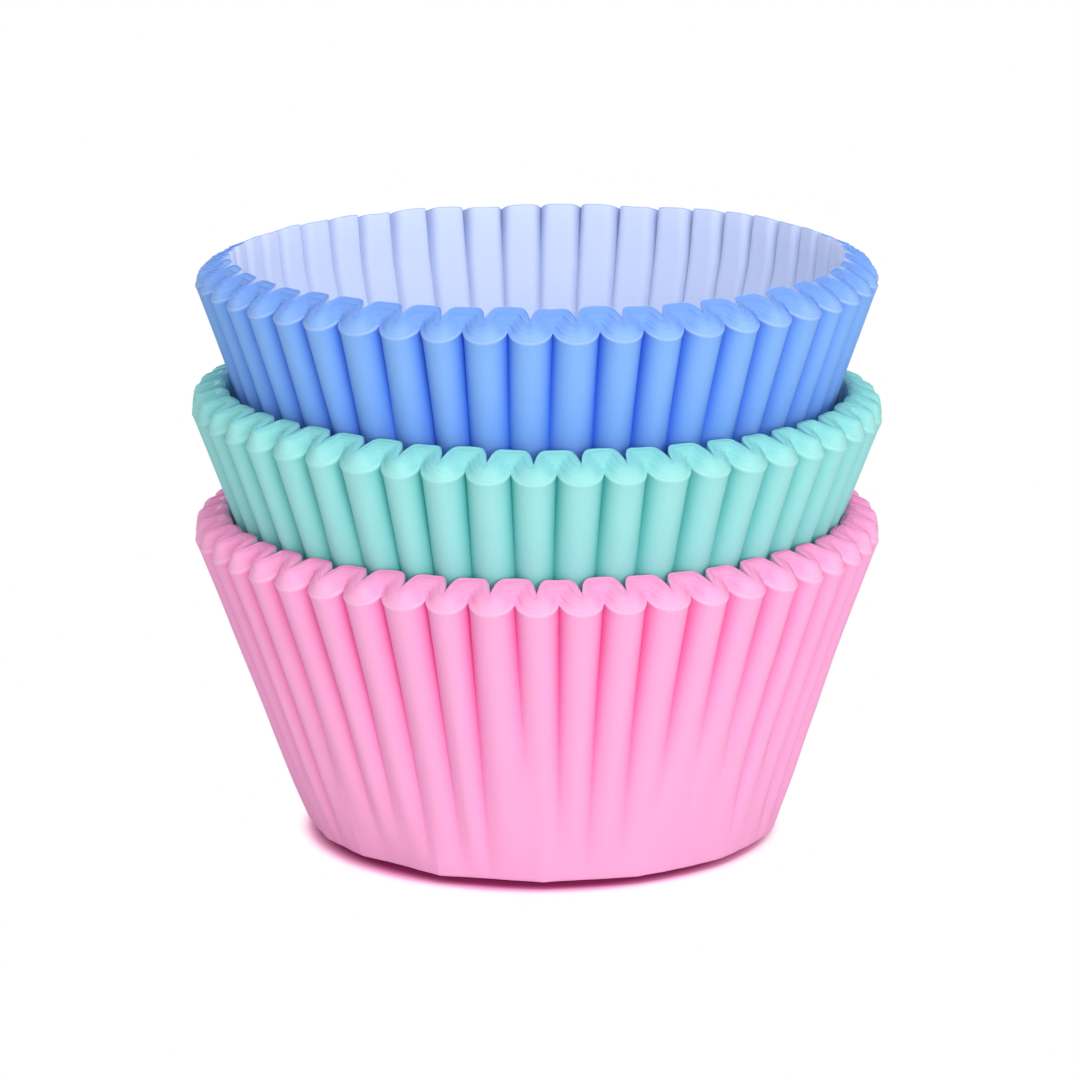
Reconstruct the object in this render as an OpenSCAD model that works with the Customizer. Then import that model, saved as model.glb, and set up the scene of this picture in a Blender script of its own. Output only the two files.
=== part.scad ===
// Stack of paper cupcake liners: three nests of fluted baking cups, each of one colour,
// standing inside one another. The origin is the centre of the foot, on the table, and +Z is up.
// A nest is a bundle of equal cups pushed tightly together, and it is drawn as one solid.

/* [Base] */
// Radius of the pressed edge where the floor turns up into the side
base_r = 25.5; // [22:0.1:28]
// Width of the ring at that edge which curls up off the table
foot_inset = 2.6; // [1:0.1:5]
// Height of the pressed edge above the table
base_lift = 1.1; // [0.4:0.1:1.6]

/* [Side] */
// Length of a cup's side from the pressed edge to its cut edge, along a crest
side_l = 32.3; // [28:0.1:38]
// Outer radius of the crests at the cut edge
rim_r = 36; // [33:0.25:38]
// How much the side flares, as a share of its width that it holds back at half height
flare = 0.1; // [0:0.02:0.2]

/* [Flutes] */
// Number of flutes round a cup
flutes = 48; // [40:1:54]
// Depth of a flute at the cut edge
flute_d = 1.7; // [1:0.1:2]
// Depth that is left of it at the pressed edge
flute_foot_d = 0.15; // [0.05:0.05:0.3]
// How much higher the cut edge stands at a crease than at a crest
scallop = 0.9; // [0:0.1:1.4]
// Radius of a crest's arc, over half the width of a flute
crest_round = 1.04; // [1.02:0.02:1.6]
// How flat the ridges are on the inside: 2 is round, and more is flatter with narrower notches
ridge_flat = 5; // [2:0.5:6]

/* [Nest] */
// Distance that the ridges of the innermost cut edge stand inside the creases of the outermost one
rim_lean = 1.9; // [1.6:0.1:3]
// Height that the innermost cut edge stands above the outermost one
rim_rise = 2.85; // [2:0.05:4]
// Depth of the notches between the ridges at the innermost cut edge, which is almost as wide as the rim
notch_d = 3.1; // [1.5:0.1:3.2]
// How much lower the innermost cut edge is in its notches
notch_drop = 0.7; // [0:0.05:1.4]
// Bulge of the band of cut edges above the straight line across it
band_bulge = 0.2; // [0:0.05:0.4]
// Thickness of the nested floors
floor_t = 2.9; // [1.5:0.1:4]
// Thickness of the nested sides at the floor
foot_wall = 0.9; // [0.6:0.1:1.4]

/* [Stack] */
// Clearance between the crests of a nest and the ridges of the nest that it sits in
seat_gap = 0.3; // [0.3:0.05:0.5]
// Distance that the rims lie to the left of the base
rim_shift = 0.5; // [0:0.25:2]
// Angle of the pink crease just right of the front
pink_turn = 3.6; // [0:0.1:7]
// Angle of the mint crease just right of the front
mint_turn = 3.4; // [0:0.1:7]
// Angle of the blue crease just right of the front
blue_turn = 2.8; // [0:0.1:7]

/* [Hidden] */

pink = [1, 0.69, 0.87];
mint = [0.64, 0.91, 0.91];
blue = [0.5, 0.7, 0.98];

// Points round one flute, and levels up the outside and down the inside
flute_steps = 6;
side_levels = [0, 0.25, 0.5, 0.75];
inside_levels = [1, 0.6, 0.25, 0];

columns = flutes * flute_steps;
column_a = 360 / columns;
// Azimuth of the front, which faces -Y
front_a = 270;

// Height of the outermost cut edge at a crest, from the length of the side
rim_h = base_lift + sqrt(pow(side_l, 2) - pow(rim_r - base_r, 2));
// The innermost cup: its ridges point inwards, behind the creases of the outside
ridge_r = rim_r - rim_lean - flute_d;
ridge_h = rim_h + rim_rise;
inner_foot_r = base_r - foot_wall;

// A nest comes to rest where its crests are as wide as the ridges below it, less the clearance
seat_share = (ridge_r - seat_gap - base_r) / (rim_r - base_r);
seat_t = 2 * seat_share / (1 - flare + sqrt(pow(1 - flare, 2) + 4 * flare * seat_share));
nest_step = ridge_h - base_lift - (rim_h - base_lift) * seat_t;

// Drop of a round crest outside, 0 on its top and 1 where it meets the next one
function sag(u) =
    (crest_round - sqrt(pow(crest_round, 2) - pow(u, 2)))
    / (crest_round - sqrt(pow(crest_round, 2) - 1));

// Place of a column across its flute: -1 and 1 in the creases, 0 on the crest
function across(i) = 2 * (i % flute_steps) / flute_steps - 1;
function crease(i) = sag(abs(across(i)));
// Drop of a flat ridge inside, 0 on its top and 1 in the narrow notch beside it
function notch(i) = pow(1 - abs(across(i)), ridge_flat);

// Share of the side's width that is reached at level t, with its slight flare
function spread(t) = t + flare * t * (t - 1);

// Radius and height of column i at the places along a cup's section
function foot_point(i) = [base_r - foot_inset, 0];
function outside_point(i, t) = [
    base_r + (rim_r - base_r) * spread(t) - (flute_foot_d + (flute_d - flute_foot_d) * t) * crease(i),
    base_lift + (rim_h - base_lift) * t
];
function outer_edge(i) = outside_point(i, 1) + [0, scallop * crease(i)];
function inner_edge(i) = [ridge_r + notch_d * notch(i), ridge_h - notch_drop * notch(i)];
function band_point(i) = (outer_edge(i) + inner_edge(i)) / 2 + band_bulge * [1, 1];
function inside_point(i, t) = [
    inner_foot_r + (ridge_r - inner_foot_r) * t + notch_d * t * notch(i),
    floor_t + (inner_edge(i)[1] - floor_t) * t
];

// One ring of the nest's surface for each entry, from the foot, over the rim and down to the inner floor
function section(i) = concat(
    [foot_point(i)],
    [for (t = side_levels) outside_point(i, t)],
    [outer_edge(i), band_point(i)],
    [for (t = inside_levels) inside_point(i, t)]
);
rings = len(section(0));

// The points of the rings lean to the left as they rise by lean at the height of the rim
function nest_points(turn, lean) = [
    for (k = [0:rings - 1], i = [0:columns - 1])
        let (p = section(i)[k], a = front_a + turn + i * column_a)
        [p[0] * cos(a) - lean * p[1] / rim_h, p[0] * sin(a), p[1]]
];
// The foot and the inner floor, which close the rings at both ends, and the strips between rings
foot_face = [for (i = [0:columns - 1]) i];
floor_face = [for (i = [columns - 1:-1:0]) (rings - 1) * columns + i];
strip_faces = [
    for (k = [0:rings - 2], i = [0:columns - 1])
        let (j = (i + 1) % columns, low = k * columns, high = low + columns)
        each [[low + i, high + i, low + j], [low + j, high + i, high + j]]
];

// One nest: place is its number from the bottom, turn its angle and lean how far its own rim leans
module nest(place, turn, lean) {
    shift = place == 0 ? 0 : -rim_shift;
    translate([shift, 0, place * nest_step])
        polyhedron(points = nest_points(turn, lean), faces = concat([foot_face, floor_face], strip_faces));
}

// The nest at the bottom stands on the table and carries the others in its rim
module pink_liners() {
    color(pink) nest(0, pink_turn, rim_shift);
}

// The middle nest sits in the ridges of the pink rim
module mint_liners() {
    color(mint) nest(1, mint_turn, 0);
}

// The top nest sits in the ridges of the mint rim, and is open for use
module blue_liners() {
    color(blue) nest(2, blue_turn, 0);
}

pink_liners();
mint_liners();
blue_liners();
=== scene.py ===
import math
import random

import bpy
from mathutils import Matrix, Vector


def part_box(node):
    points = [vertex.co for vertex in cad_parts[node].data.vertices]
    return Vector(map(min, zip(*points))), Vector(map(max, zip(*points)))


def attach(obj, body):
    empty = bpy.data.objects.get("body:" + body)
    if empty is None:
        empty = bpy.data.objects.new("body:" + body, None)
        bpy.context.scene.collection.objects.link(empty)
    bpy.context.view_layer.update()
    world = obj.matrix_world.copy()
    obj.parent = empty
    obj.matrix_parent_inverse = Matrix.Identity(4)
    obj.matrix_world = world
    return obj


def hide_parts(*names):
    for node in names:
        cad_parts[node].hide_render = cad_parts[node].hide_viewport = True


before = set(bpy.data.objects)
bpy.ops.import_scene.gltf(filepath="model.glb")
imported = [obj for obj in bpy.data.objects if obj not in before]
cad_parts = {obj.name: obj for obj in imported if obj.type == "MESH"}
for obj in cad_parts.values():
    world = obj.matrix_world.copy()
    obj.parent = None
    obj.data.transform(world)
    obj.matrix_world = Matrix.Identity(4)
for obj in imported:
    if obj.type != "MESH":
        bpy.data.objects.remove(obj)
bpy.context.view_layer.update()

# The camera
# It stands half a metre in front of the stack, a little above the rims, and looks slightly down
# on it through a long lens, so that the rims are flat ovals and the inside of the top cup shows.
CAMERA_DISTANCE = 0.5
CAMERA_PITCH = math.radians(13.65)
CAMERA_AIM = Vector((-0.0002, 0, 0.0307))
CAMERA_LENS = 157.7
CAMERA_SENSOR = 36

camera = bpy.data.objects.new("camera", bpy.data.cameras.new("camera"))
bpy.context.scene.collection.objects.link(camera)
camera.data.lens = CAMERA_LENS
camera.data.sensor_width = CAMERA_SENSOR
camera.data.clip_start = 0.01
camera.data.clip_end = 20
away = Vector((0, -math.cos(CAMERA_PITCH), math.sin(CAMERA_PITCH)))
camera.location = CAMERA_AIM + CAMERA_DISTANCE * away
camera.rotation_euler = (-away).to_track_quat("-Z", "Y").to_euler()
bpy.context.scene.camera = camera

# The pink nest
# About a dozen equal cups, each a disc of thin greaseproof paper pressed into a flat floor and a
# fluted side, are pushed tightly into one another. The nest stands on the table and carries the
# other two: their flutes rest on the ridges inside its rim.

# The outermost cup, in metres: a base whose edge curls off the table, and a slightly flared side
BASE_RADIUS = 0.0255
BASE_LIFT = 0.0011
FOOT_INSET = 0.005
FLARE = 0.1

# Its flutes: round crests that meet in sharp creases, which end in a slit. The cut edge above them
# is scalloped, and its lip stands out a hair, more so in the creases.
FLUTES = 48
FLUTE_STEPS = 16
FLUTE_DEPTH = 0.0017
CREST_ROUND = 1.04
SLIT_START = 0.75
SLIT_DEPTH = 0.0001
SCALLOP = 0.0009
LIP = 0.00005
LIP_IN_CREASE = 0.00025

# The innermost cup: its edge leans in and stands higher, with narrow notches between flat ridges
FLOOR_THICKNESS = 0.0029
FOOT_WALL = 0.0009
RIM_LEAN = 0.0011
RIM_RISE = 0.00285
NOTCH_DEPTH = 0.0025
NOTCH_DROP = 0.00085
NOTCH_WIDTH = 0.17
RIDGE_FLATNESS = 6

# How uneven soft paper is: how far up the side a crease may start, the share of their depth that
# creases have at the foot, at least, and by chance, their drift, and dents and waves in metres
FADE_SHARE = 0.42
FOOT_DEPTH = 0.03
LEAST_DEPTH = 0.87
DEPTH_SPREAD = 0.25
DRIFT = 0.1
FOOT_DRIFT = 0.3
DENT = 0.0003
EDGE_WAVE = 0.0002
RISE_SCATTER = 0.0003


class Socket:
    """One output of a node. Python sums and products on it add the nodes that work them out."""

    def __init__(self, board, out):
        self.board = board
        self.out = out

    def other(self, name):
        return Socket(self.board, self.out.node.outputs[name])

    def math(self, operation, *values):
        return self.board.node("ShaderNodeMath", {"operation": operation}, self, *values)

    def __add__(self, value):
        return self.math("ADD", value)

    def __radd__(self, value):
        return self.math("ADD", value)

    def __sub__(self, value):
        return self.math("SUBTRACT", value)

    def __rsub__(self, value):
        return self.board.node("ShaderNodeMath", {"operation": "SUBTRACT"}, value, self)

    def __mul__(self, value):
        return self.math("MULTIPLY", value)

    def __rmul__(self, value):
        return self.math("MULTIPLY", value)

    def __truediv__(self, value):
        return self.math("DIVIDE", value)

    def __pow__(self, value):
        return self.math("POWER", value)

    def __abs__(self):
        return self.math("ABSOLUTE")

    def clamped(self):
        return self.math("MAXIMUM", 0).math("MINIMUM", 1)

    def between(self, start, end):
        """start where this is 0 and end where it is 1."""
        settings = {"data_type": "FLOAT", "clamp_factor": False}
        return self.board.node("ShaderNodeMix", settings, self, start, end)

    def smooth(self, low, high):
        """A smooth step from 0 at low to 1 at high."""
        settings = {"interpolation_type": "SMOOTHSTEP"}
        return self.board.node("ShaderNodeMapRange", settings, self, low, high, 0.0, 1.0)


class Board:
    """A node tree that is wired by the script."""

    def __init__(self, tree):
        self.tree = tree

    def node(self, kind, settings=None, *values, **named):
        """Adds a node: its settings first, then its sockets' values or links, in order and by name."""
        made = self.tree.nodes.new(kind)
        for key, value in (settings or {}).items():
            setattr(made, key, value)
        in_order = [s for s in made.inputs if s.enabled]
        by_name = [(made.inputs[key], value) for key, value in named.items()]
        for socket, value in [*zip(in_order, values), *by_name]:
            if isinstance(value, Socket):
                self.tree.links.new(value.out, socket)
            elif value is not None:
                socket.default_value = value
        outs = [s for s in made.outputs if s.enabled]
        return Socket(self, outs[0]) if outs else None

    def vector(self, x, y, z):
        return self.node("ShaderNodeCombineXYZ", None, x, y, z)


# The band of cut edges between them: its bulge, which is flatter in front and behind, the widths of
# papers and gaps against one another, the grooves as a share of the side, and the edges' scatter
CUPS = 12
BAND_BULGE = 0.001
FRONT_BULGE = 0.3
LIP_SHARE = 0.6
LIP_GAP = 0.5
PAPER_SHARE = 0.5
GROOVE = 0.0008
LIP_GROOVE = 1.6 * GROOVE
EDGE_SCATTER = 0.00006

# Places of the section's points: levels go from 0 at the base's edge to 1 at the cut edge, and
# reaches from 0 at the axis to 1 at the wall. The foot's curl is a share of its width and lift.
FOOT_REACHES = (0, 0.3, 0.6, 0.85, 1)
FOOT_CURL = ((0.2, -0.92), (0.4, -0.76), (0.6, -0.57), (0.8, -0.37), (0.93, -0.22), (0.985, -0.12))
OUTSIDE_LEVELS = (
    0.004, 0.02, 0.045, 0.08, 0.12, 0.17, 0.23, 0.31, 0.4,
    0.5, 0.6, 0.69, 0.77, 0.84, 0.9, 0.945, 0.975, 0.992,
)
INSIDE_LEVELS = (0.98, 0.95, 0.9, 0.83, 0.75, 0.66, 0.56, 0.45, 0.34, 0.24, 0.15, 0.08, 0.03, 0)
FLOOR_REACHES = (0.98, 0.93, 0.85, 0.7, 0.5, 0.25, 0)
PAPER_TOP = 0.998


def band_widths(chance):
    """The widths of the papers and of the gaps between them, in turn, from the outermost cup in."""
    widths = [LIP_SHARE, LIP_GAP, PAPER_SHARE]
    for cup in range(2, CUPS):
        widths += [PAPER_SHARE * chance.uniform(0.7, 1.5), PAPER_SHARE * chance.uniform(0.7, 1.3)]
    return widths


def nest_section():
    """The section of a nest as points (cup, level, reach, rise, edge): from the foot's centre up
    the outermost cup, over every cut edge, and down the innermost cup to its floor's centre."""
    foot = 1 - FOOT_INSET / BASE_RADIUS
    points = [(0, 0, reach * foot, -BASE_LIFT, 0) for reach in FOOT_REACHES]
    points += [(0, 0, foot + (1 - foot) * share, rise * BASE_LIFT, 0) for share, rise in FOOT_CURL]
    points += [(0, level, 1, 0, 0) for level in OUTSIDE_LEVELS]
    chance = random.Random(5)
    widths = band_widths(chance)
    place = 0
    for k, width in enumerate(widths):
        outer = place / sum(widths)
        place += width
        inner = place / sum(widths)
        if k % 2 == 0:
            # Each paper's cut edge is paler: partly the paper's pale cut, partly a painted highlight,
            # strongest on the outermost lip
            paleness_and_highlight = 1 if k == 0 else 0.4
            last = inner == 1
            lift = 0 if k == 0 else chance.uniform(-EDGE_SCATTER, EDGE_SCATTER)
            points += [(outer, PAPER_TOP, 1, lift, paleness_and_highlight), (outer, 1, 1, lift, paleness_and_highlight)]
            points += [(inner, 1, 1, lift, 2 if last else paleness_and_highlight)]
            points += [(inner, PAPER_TOP, 1, lift, 0 if last else 0.45)]
        else:
            # The grooves between the papers are paler too, partly with a painted highlight
            depth = LIP_GROOVE if k == 1 else GROOVE
            points += [(outer, 1 - depth, 1, 0, 0.4), (inner, 1 - depth, 1, 0, 0.4)]
    points += [(1, level, 1, 0, 0) for level in INSIDE_LEVELS]
    points += [(1, 0, reach, 0, 0) for reach in FLOOR_REACHES]
    return points


def section_mesh(name):
    """The section as a chain of edges, with its facts as attributes on its points. The points only
    have to lie apart here, because the tree gives them their places."""
    points = nest_section()
    mesh = bpy.data.meshes.new(name)
    places = [(0.02 * k, 0.001 * k, 0) for k in range(len(points))]
    mesh.from_pydata(places, [(k, k + 1) for k in range(len(points) - 1)], [])
    for column, fact in enumerate(("cup", "level", "reach", "rise", "edge")):
        values = mesh.attributes.new(fact, "FLOAT", "POINT")
        values.data.foreach_set("value", [float(point[column]) for point in points])
    return mesh


# How fast the painted shade in a crease deepens up the side, and how deep the painted shade is in
# the band of cut edges, close to the creases outside and on the ridges inside
FOLD_SHADE_GROWTH = 1.15
EDGE_SHADE = 0.36
TONGUE_SHADE = 0.4

NEST_SIZES = {
    "Flutes": ("INT", FLUTES),
    "Steps": ("INT", FLUTE_STEPS),
    "Base radius": ("FLOAT", BASE_RADIUS),
    "Base lift": ("FLOAT", BASE_LIFT),
    "Foot wall": ("FLOAT", FOOT_WALL),
    "Floor": ("FLOAT", FLOOR_THICKNESS),
    "Rim radius": ("FLOAT", 0.0),
    "Rim height": ("FLOAT", 0.0),
    "Rim lean": ("FLOAT", RIM_LEAN),
    "Rim rise": ("FLOAT", RIM_RISE),
    "Notch depth": ("FLOAT", NOTCH_DEPTH),
    "Notch drop": ("FLOAT", NOTCH_DROP),
    "Band bulge": ("FLOAT", BAND_BULGE),
    "Scallop": ("FLOAT", SCALLOP),
    "Flute depth": ("FLOAT", FLUTE_DEPTH),
    "Slit depth": ("FLOAT", SLIT_DEPTH),
    "Fold shade growth": ("FLOAT", FOLD_SHADE_GROWTH),
    "Sunk shade": ("FLOAT", 0.0),
    "Flare": ("FLOAT", FLARE),
    "Turn": ("FLOAT", 0.0),
    "Lean": ("FLOAT", 0.0),
    "Roll": ("FLOAT", 0.0),
    "Dip": ("FLOAT", 0.0),
    "Dip heading": ("FLOAT", 0.0),
    "Place": ("VECTOR", (0.0, 0.0, 0.0)),
    "Seed": ("FLOAT", 1.0),
    "Paper": ("MATERIAL", None),
}


# The corner round the base is pressed in short flats, and from the first corner on in long ones
FIRST_CORNER = 221.5
SHORT_FLAT = 17
LONG_FLAT = 24
SHORT_FLAT_DEPTH = 0.00025
LONG_FLAT_DEPTH = 0.0007
SHARPEST_FLAT = 228
ROUND_FLAT_SHARE = 0.35
PUSHED_IN_AT = 205
PUSHED_IN = 0.0006


def base_flats(angle, level):
    """How far the base's corner is pressed in: flats between corners, and one side pushed in."""
    degrees = angle / (2 * math.pi) * 360
    from_corner = (degrees - (FIRST_CORNER - 180)).math("FLOORED_MODULO", 360.0) - 180
    on_long = from_corner.math("GREATER_THAN", 0.0)
    along = (from_corner / (SHORT_FLAT + (LONG_FLAT - SHORT_FLAT) * on_long)).math("FRACT")
    flattest = (angle - math.radians(SHARPEST_FLAT)).math("COSINE").smooth(0.2, 1.0)
    flatness = ROUND_FLAT_SHARE + (1 - ROUND_FLAT_SHARE) * flattest
    depth = SHORT_FLAT_DEPTH + (LONG_FLAT_DEPTH - SHORT_FLAT_DEPTH) * on_long
    pressed = 4 * along * (1 - along) * depth * flatness
    pushed = (angle - math.radians(PUSHED_IN_AT)).math("COSINE").smooth(0.75, 1.0) * PUSHED_IN
    return (pressed + pushed) * (1 - level) ** 6


def nest_tree():
    """Sweeps the section round and presses the flutes into it. Every cup follows the same rule:
    outside, round crests meet in sharp creases; inside, flat ridges meet in narrow notches."""
    tree = bpy.data.node_groups.new("nest_of_cups", "GeometryNodeTree")
    tree.interface.new_socket("Geometry", in_out="INPUT", socket_type="NodeSocketGeometry")
    kinds = {"INT": "Int", "FLOAT": "Float", "VECTOR": "Vector", "MATERIAL": "Material"}
    for name, (kind, value) in NEST_SIZES.items():
        socket_type = "NodeSocket" + kinds[kind]
        made = tree.interface.new_socket(name, in_out="INPUT", socket_type=socket_type)
        if value is not None:
            made.default_value = value
    tree.interface.new_socket("Geometry", in_out="OUTPUT", socket_type="NodeSocketGeometry")
    board = Board(tree)
    given = board.node("NodeGroupInput")
    size = {name: given.other(name) for name in NEST_SIZES}

    def fact(name):
        return board.node("GeometryNodeInputNamedAttribute", {"data_type": "FLOAT"}, name)

    def store(geometry, name, value):
        settings = {"data_type": "FLOAT"}
        return board.node("GeometryNodeStoreNamedAttribute", settings, geometry, Name=name, Value=value)

    columns = size["Flutes"] * size["Steps"]
    circle = board.node("GeometryNodeCurvePrimitiveCircle", {"mode": "RADIUS"}, columns, Radius=1.0)
    circle = store(circle, "turn", board.node("GeometryNodeSplineParameter"))
    section = board.node("GeometryNodeMeshToCurve", None, given)
    swept = board.node("GeometryNodeCurveToMesh", None, circle, section)

    cup, level, reach, rise = (fact(name) for name in ("cup", "level", "reach", "rise"))
    along = fact("turn") * size["Flutes"]
    flute = along.math("FLOOR")
    place = along - flute
    across = abs(2 * place - 1)
    full_turn = 2 * math.pi
    heading = fact("turn") * full_turn
    angle = size["Turn"] + heading
    next_crease = (flute + 1).math("FLOORED_MODULO", size["Flutes"])
    this_crease = flute.math("FLOORED_MODULO", size["Flutes"])

    def chance(crease, draw):
        at = board.vector(crease, draw, size["Seed"])
        return board.node("ShaderNodeTexWhiteNoise", {"noise_dimensions": "3D"}, at)

    def by_crease(draw):
        """A number from 0 to 1, drawn for each crease, that runs evenly across the flute between."""
        return place.between(chance(this_crease, draw), chance(next_crease, draw))

    def ripple(scale, detail, shift, upward=1.0):
        """Smooth noise from -1 to 1 on the side, seamless round it."""
        x = heading.math("COSINE") * scale
        y = heading.math("SINE") * scale
        at = board.vector(x, y, level * upward + shift)
        settings = {"noise_dimensions": "4D"}
        noise = board.node("ShaderNodeTexNoise", settings, at, size["Seed"], Scale=1.0, Detail=detail)
        return (noise - 0.5) * 2

    # The flutes' outline, from 0 on a crest to 1 in a crease, for the cups from outside to inside
    crest_width = 1 - (1 - NOTCH_WIDTH) * cup ** 1.3
    on_crest = (across / crest_width).clamped()
    arc = CREST_ROUND - (CREST_ROUND ** 2 - on_crest * on_crest).math("SQRT")
    round_crest = arc / (CREST_ROUND - math.sqrt(CREST_ROUND ** 2 - 1))
    soft_crest = 0.5 - 0.5 * (across * math.pi).math("COSINE")
    looseness = 0.9 * (1 - level) ** 1.2
    flat_ridge = 1 - (1 - across) ** RIDGE_FLATNESS
    crease = cup.smooth(0.7, 1.0).between(looseness.between(round_crest, soft_crest), flat_ridge)
    slit = ((across - SLIT_START) / (1 - SLIT_START)).clamped() ** 1.5

    # The flutes' depth, which fades out above the foot at a different height in each crease
    fade = by_crease(1.0) ** 2 * FADE_SHARE
    grown = ((level - fade) / (1 - fade)).clamped() ** 0.75
    outer_depth = size["Flute depth"] * (FOOT_DEPTH + (1 - FOOT_DEPTH) * grown)
    outer_depth = outer_depth * (by_crease(2.0) * DEPTH_SPREAD + LEAST_DEPTH)
    outer_depth = outer_depth * crease + size["Slit depth"] * grown * slit * (1 - cup) ** 2
    inner_depth = size["Notch depth"] * level * (0.5 + 0.5 * level.smooth(0.8, 1.0))
    depth = cup.between(outer_depth, inner_depth * crease)

    # The cut edge's height, from the scalloped outermost cup over the band to the innermost one
    scallop = cup.between(size["Scallop"], size["Notch drop"]) * crease
    scatter = (by_crease(5.0) - 0.5) * RISE_SCATTER
    edge_rise = cup * (size["Rim rise"] - size["Notch drop"] + scatter)
    plump = FRONT_BULGE + (1 - FRONT_BULGE) * angle.math("COSINE") ** 2
    edge_rise = edge_rise + 4 * size["Band bulge"] * plump * cup * (1 - cup)
    edge_height = size["Rim height"] + edge_rise + scallop + ripple(1.6, 1.0, 3.0, 0.0) * EDGE_WAVE

    # The radius and height of each point
    base_radius = cup.between(size["Base radius"], size["Base radius"] - size["Foot wall"])
    base_height = cup.between(size["Base lift"], size["Floor"])
    crest_radius = size["Rim radius"] - size["Rim lean"] * cup ** 1.8
    spread = level + size["Flare"] * level * (level - 1)
    dent = ripple(5.0, 2.0, 7.0, 2.2) * DENT * (1 - level * 0.6) * level.smooth(0.0, 0.15)
    lip = level.smooth(0.985, 1.0) * (1 - cup).smooth(0.8, 1.0) * (LIP + LIP_IN_CREASE * crease)
    radius = base_radius + (crest_radius - base_radius) * spread - depth
    radius = radius + dent * (1 - cup * 0.4) + lip - base_flats(angle, level)
    radius = radius * reach
    height = base_height + (edge_height - base_height) * level + rise

    # Its place, with the creases' drift, the rims' lean to the left, and the roll and dip of a rim
    drift = (by_crease(3.0) - 0.5) * DRIFT + (by_crease(4.0) - 0.5) * FOOT_DRIFT * (1 - level)
    angle = angle + drift * full_turn / size["Flutes"]
    y = radius * angle.math("SINE")
    x = radius * angle.math("COSINE") - size["Lean"] * height / size["Rim height"]
    dip = size["Dip"] * (angle - size["Dip heading"]).math("COSINE").smooth(0.1, 1.0)
    height = height - (x * size["Roll"] + dip) * (height / size["Rim height"]).clamped()
    at = board.vector(x, y, height)
    at = board.node("ShaderNodeVectorMath", {"operation": "ADD"}, at, size["Place"])

    # How deep in a fold, or sunk in the nest below, each point lies, for the painted shade in the
    # paper's colour
    # Painted shade: darker, deeper colour towards each crease outside and along each notch inside
    outside_shade = across ** 3 * (size["Fold shade growth"] * grown).clamped()
    # Painted shade low on the side, where the nest is sunk in the one below
    sunk = size["Sunk shade"] * (1 - level.smooth(0.6, 0.9))
    outside_shade = outside_shade + (1 - outside_shade) * sunk
    inside_shade = (1 - across.smooth(0.0, 0.35)) * level
    # Painted shade in the band of cut edges: darker towards the creases and on the ridges' tongues
    edge_shade = on_crest.smooth(0.4, 0.95) * cup.smooth(0.03, 0.15) * EDGE_SHADE
    edge_shade = edge_shade + (1 - on_crest) * cup.smooth(0.05, 0.8) * TONGUE_SHADE
    on_edge = fact("edge").smooth(0.0, 0.25)
    painted_shade = on_edge.between(cup.between(outside_shade, inside_shade), edge_shade)

    pressed = store(swept, "painted_shade", painted_shade)
    pressed = board.node("GeometryNodeSetPosition", None, pressed, Position=at)
    pressed = board.node("GeometryNodeMergeByDistance", None, pressed, Distance=1e-7)
    pressed = board.node("GeometryNodeSetShadeSmooth", None, pressed)
    pressed = board.node("GeometryNodeRealizeInstances", None, pressed)
    pressed = board.node("GeometryNodeSetMaterial", None, pressed, Material=size["Paper"])
    board.node("NodeGroupOutput", None, pressed)
    return tree


NEST_TREE = nest_tree()

# The paper: its colours, the painted shade in its folds, its paler cut edges with a painted highlight,
# and the size of its mottling and fibres
PINK_OUTSIDE = (0.96, 0.415, 0.69)
PINK_INSIDE = (0.98, 0.66, 0.82)
FOLD_SHADE_POWER = 1.9
CUT_EDGE_PALE_AND_HIGHLIGHT = 0.28
INSIDE_FOLD_SHADE = 0.28
MOTTLE = 0.03
MOTTLE_SCALE = 260
WAX_SCALE = 900
FIBRE_SCALE = 5000
FIBRE_HEIGHT = 0.00005


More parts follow.
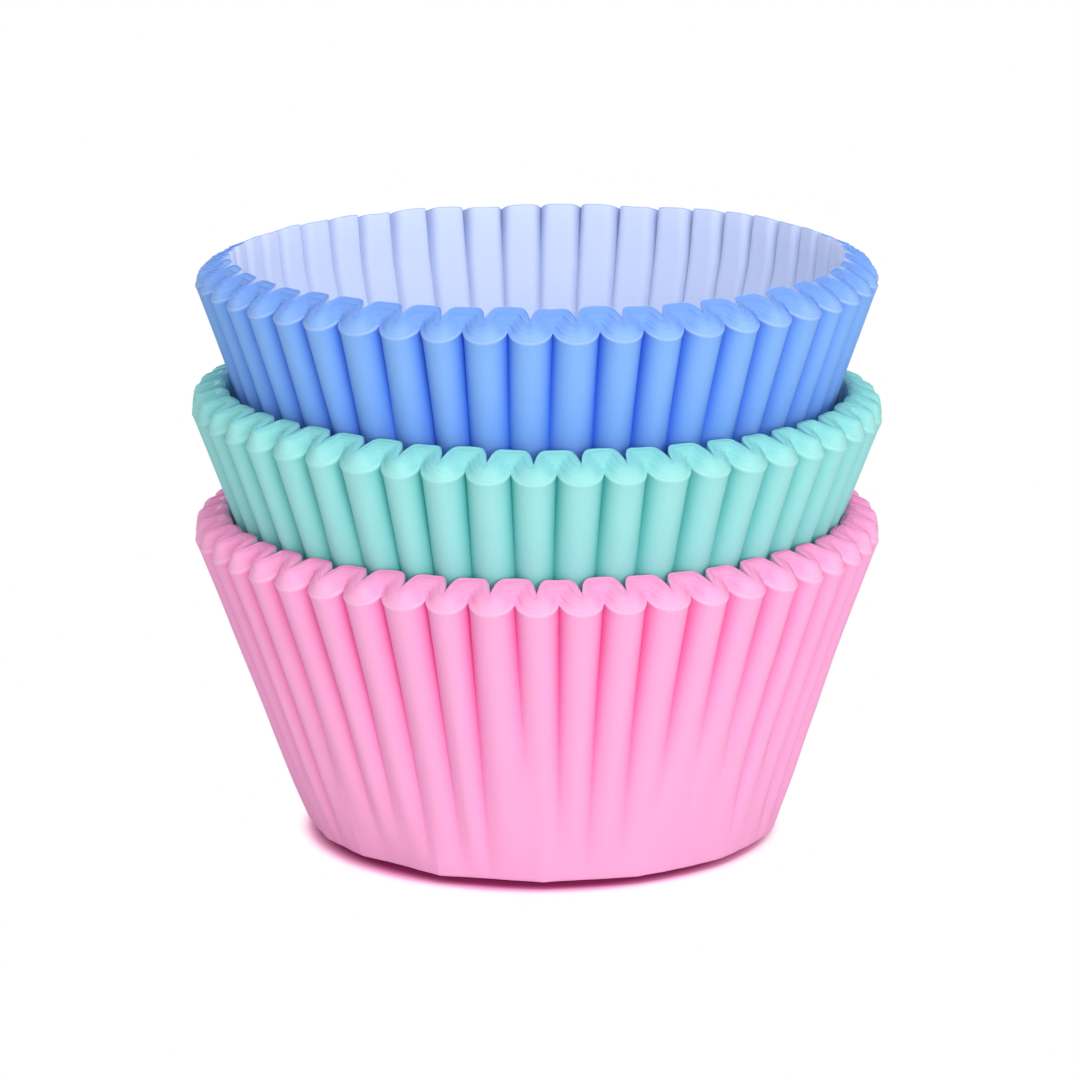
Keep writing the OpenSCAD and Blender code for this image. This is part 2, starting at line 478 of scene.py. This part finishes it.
def paper(name, outside, inside):
    """Thin dyed greaseproof paper: matte and slightly waxy, with fine fibres. It is paler inside and
    where it is cut, with a painted highlight on the cut edges. Painted shade makes it darker and deeper
    in its folds, for the light that goes from sheet to sheet, and where it is sunk in the nest below."""
    material = bpy.data.materials.new(name)
    material.use_nodes = True
    board = Board(material.node_tree)
    shader = next(n for n in material.node_tree.nodes if n.type == "BSDF_PRINCIPLED")
    shader.inputs["Specular IOR Level"].default_value = 0.25
    place = board.node("ShaderNodeTexCoord").other("Object")

    def noise(scale, detail):
        return board.node("ShaderNodeTexNoise", None, place, Scale=scale, Detail=detail)

    def fact(attribute):
        return board.node("ShaderNodeAttribute", {"attribute_name": attribute}).other("Fac")

    def blend(share, first, second):
        return board.node("ShaderNodeMix", {"data_type": "RGBA"}, share, first, second)

    def scaled(colour, factor):
        return (*(min(1, factor * c) for c in colour), 1)

    painted_shade = fact("painted_shade")
    colour = blend(noise(MOTTLE_SCALE, 3), scaled(outside, 1 - MOTTLE), scaled(outside, 1 + MOTTLE))
    # The cut edges are paler: partly the paper's pale cut, partly a painted highlight where the edges
    # catch the light
    colour = blend(fact("edge") * CUT_EDGE_PALE_AND_HIGHLIGHT, colour, (*inside, 1))
    # Painted shade: darker, deeper colour in the folds and where the nest is sunk in the one below
    colour = blend(painted_shade, colour, (*(c ** FOLD_SHADE_POWER for c in outside), 1))
    # Painted shade inside, darker along the notches
    inner = blend(painted_shade * INSIDE_FOLD_SHADE, (*inside, 1), scaled(inside, 0.5))
    in_cup = fact("cup").smooth(0.97, 1.0) * (1 - fact("edge").smooth(0.0, 0.2))
    colour = blend(in_cup, colour, inner)
    board.tree.links.new(colour.out, shader.inputs["Base Color"])
    roughness = 0.62 + noise(WAX_SCALE, 2) * 0.2
    board.tree.links.new(roughness.out, shader.inputs["Roughness"])
    fibres = noise(FIBRE_SCALE, 4)
    bump = board.node("ShaderNodeBump", None, Strength=0.25, Distance=FIBRE_HEIGHT, Height=fibres)
    board.tree.links.new(bump.out, shader.inputs["Normal"])
    return material


# A fold at least this sharp shows as an edge
SHARP_FOLD = math.radians(48)


def nest_of_cups(name, node, material, sizes, wider=0, taller=0):
    """Makes the nest that stands for one CAD node, at that node's place and size."""
    low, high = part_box(node)
    piece = bpy.data.objects.new(name, section_mesh(name))
    bpy.context.scene.collection.objects.link(piece)
    modifier = piece.modifiers.new("press the nest", "NODES")
    modifier.node_group = NEST_TREE
    sizes = {
        "Rim radius": (high.y - low.y) / 2 + wider,
        "Rim height": high.z - low.z - RIM_RISE + taller,
        "Place": ((high.x + low.x) / 2, 0, low.z),
        "Paper": material,
        **sizes,
    }
    inputs = [item for item in NEST_TREE.interface.items_tree if item.in_out == "INPUT"]
    sockets = {item.name: item.identifier for item in inputs}
    for key, value in sizes.items():
        modifier[sockets[key]] = value
    bpy.context.view_layer.update()
    graph = bpy.context.evaluated_depsgraph_get()
    mesh = bpy.data.meshes.new_from_object(piece.evaluated_get(graph))
    piece.modifiers.clear()
    piece.data = mesh
    mesh.set_sharp_from_angle(angle=SHARP_FOLD)
    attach(piece, "root")
    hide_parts(node)


# The crease just right of the front stands at this angle from it, in degrees. The rims of all
# three nests lie a little to the left of the base, so the pink side leans that way.
PINK_TURN = 3.6
RIM_SHIFT = 0.0005

pink_paper = paper("pink_paper", PINK_OUTSIDE, PINK_INSIDE)
nest_of_cups("pink_nest", "pink_liners", pink_paper, {
    "Turn": math.radians(270 + PINK_TURN),
    "Lean": RIM_SHIFT,
    "Place": (0, 0, 0),
    "Seed": 3.0,
})

# The mint nest
# The same cups in mint. They stand in the pink rim, lean a hair to the right, and are pressed a
# touch wider and lower. Painted shade darkens the paper's colour where it is sunk between the rims.
MINT_TURN = 3.4
MINT_ROLL = 0.011
MINT_WIDER = 0.00013
MINT_LOWER = 0.0003
MINT_SUNK_SHADE = 0.2
MINT_OUTSIDE = (0.33, 0.735, 0.72)
MINT_INSIDE = (0.46, 0.81, 0.8)

mint_paper = paper("mint_paper", MINT_OUTSIDE, MINT_INSIDE)
nest_of_cups("mint_nest", "mint_liners", mint_paper, {
    "Turn": math.radians(270 + MINT_TURN),
    "Roll": MINT_ROLL,
    "Sunk shade": MINT_SUNK_SHADE,
    "Seed": 8.0,
}, wider=MINT_WIDER, taller=-MINT_LOWER)

# The blue nest
# The same cups in blue, with a paler, lilac inside. They stand in the mint rim, and the innermost
# one is open. The rim is a touch narrower and higher, dips at its back right, and has a flatter
# band of cut edges with shallower notches. The painted shade in its creases is stronger.
BLUE_TURN = 2.8
BLUE_NARROWER = 0.00045
BLUE_HIGHER = 0.00015
BLUE_DIP = 0.0006
BLUE_DIP_HEADING = 120
BLUE_BAND_BULGE = 0.0002
BLUE_RIM_LEAN = 0.0016
BLUE_NOTCH_DEPTH = 0.002
BLUE_NOTCH_DROP = 0.00075
BLUE_FOLD_SHADE_GROWTH = 1.6
BLUE_SUNK_SHADE = 0.35
BLUE_OUTSIDE = (0.22, 0.44, 0.89)
BLUE_INSIDE = (0.65, 0.73, 0.96)

blue_paper = paper("blue_paper", BLUE_OUTSIDE, BLUE_INSIDE)
nest_of_cups("blue_nest", "blue_liners", blue_paper, {
    "Turn": math.radians(270 + BLUE_TURN),
    "Dip": BLUE_DIP,
    "Dip heading": math.radians(BLUE_DIP_HEADING),
    "Rim lean": BLUE_RIM_LEAN,
    "Notch depth": BLUE_NOTCH_DEPTH,
    "Notch drop": BLUE_NOTCH_DROP,
    "Band bulge": BLUE_BAND_BULGE,
    "Fold shade growth": BLUE_FOLD_SHADE_GROWTH,
    "Sunk shade": BLUE_SUNK_SHADE,
    "Seed": 21.0,
}, wider=-BLUE_NARROWER, taller=BLUE_HIGHER)

# The floor and the light
# A plain white table before white walls, in soft studio light: one lamp high in front, a low one
# in front on the right, and a low one behind. The camera sees table and walls as pure white, up to
# the lifted foot. Under its edge the table keeps the lamps' shadow, with a painted shadow and a
# painted pink glow from the paper in its colour.
FLOOR_SIZE = 6
FLOOR_COLOUR = (0.75, 0.75, 0.75, 1)
FLOOR_GAIN = 1.8
# The table's colour under the foot: a painted shadow, tinted by painted pink light from the paper, that
# fades into a painted pink glow
FOOT_PAINTED_SHADOW = (0.31, 0.045, 0.15)
PAINTED_PINK_BOUNCE = (1, 0.7, 0.85)
PAINTED_SHADOW_MIDDLE = (-0.0003, -0.0012, 0)
PAINTED_SHADOW_FADES = (0.0221, 0.0261)
SHADOW_FADES = (0.0241, 0.026)
WALL_LIGHT = 0.57
WHITE = (1, 1, 1, 1)
STACK_MIDDLE = Vector((0, 0, 0.03))


def emptied_board(tree):
    """The board of a node tree whose own nodes are taken out."""
    for old in list(tree.nodes):
        tree.nodes.remove(old)
    return Board(tree)


def table_finish():
    """Plain matt white. The camera sees it as white, but for the shadow under the foot, deepened by a
    painted shadow and a painted pink glow from the paper.
    """
    finish = bpy.data.materials.new("white_table")
    finish.use_nodes = True
    board = emptied_board(finish.node_tree)

    def diffuse(colour):
        return board.node("ShaderNodeBsdfDiffuse", None, colour)

    def mix(share, first, second):
        return board.node("ShaderNodeMixShader", None, share, first, second)

    def half_gain(colour):
        return (*(FLOOR_GAIN / 2 * c for c in colour), 1)

    place = board.node("ShaderNodeTexCoord").other("Object")
    distance = board.node("ShaderNodeVectorMath", {"operation": "DISTANCE"}, place, PAINTED_SHADOW_MIDDLE)
    distance = distance.other("Value")
    # Painted shadow and painted pink glow: the table's colour darkens and turns pink towards the foot
    colours = (half_gain(FOOT_PAINTED_SHADOW), half_gain(PAINTED_PINK_BOUNCE))
    fade = distance.smooth(*PAINTED_SHADOW_FADES)
    half = diffuse(board.node("ShaderNodeMix", {"data_type": "RGBA"}, fade, *colours))
    shaded = board.node("ShaderNodeAddShader", None, half, half)
    lit = board.node("ShaderNodeEmission", None, WHITE, 1.0)
    shown = mix(distance.smooth(*SHADOW_FADES), shaded, lit)
    seen = board.node("ShaderNodeLightPath").other("Is Camera Ray")
    board.node("ShaderNodeOutputMaterial", None, mix(seen, diffuse(FLOOR_COLOUR), shown))
    return finish


def lamp(name, place, size, power):
    """A square soft lamp that faces the stack."""
    made = bpy.data.objects.new(name, bpy.data.lights.new(name, "AREA"))
    made.data.size = size
    made.data.energy = power
    made.location = place
    made.rotation_euler = (STACK_MIDDLE - Vector(place)).to_track_quat("-Z", "Y").to_euler()
    bpy.context.scene.collection.objects.link(made)


floor = bpy.data.objects.new("floor", bpy.data.meshes.new("floor"))
edge = FLOOR_SIZE / 2
corners = [(-edge, -edge, 0), (edge, -edge, 0), (edge, edge, 0), (-edge, edge, 0)]
floor.data.from_pydata(corners, [], [(0, 1, 2, 3)])
bpy.context.scene.collection.objects.link(floor)
floor.data.materials.append(table_finish())

lamp("key_lamp", (0.12, -0.5, 1.05), size=0.5, power=4)
lamp("fill_lamp", (0.32, -1.15, 0.12), size=0.8, power=11)
lamp("back_lamp", (-0.25, 1.15, 0.3), size=0.8, power=9)

world = bpy.data.worlds.new("studio")
world.use_nodes = True
bpy.context.scene.world = world
studio = emptied_board(world.node_tree)
seen = studio.node("ShaderNodeLightPath").other("Is Camera Ray")
walls = studio.node("ShaderNodeBackground", None, WHITE, WALL_LIGHT)
backdrop = studio.node("ShaderNodeBackground", None, WHITE, 1.0)
sky = studio.node("ShaderNodeMixShader", None, seen, walls, backdrop)
studio.node("ShaderNodeOutputWorld", None, sky)

bpy.context.scene.view_settings.view_transform = "Standard"
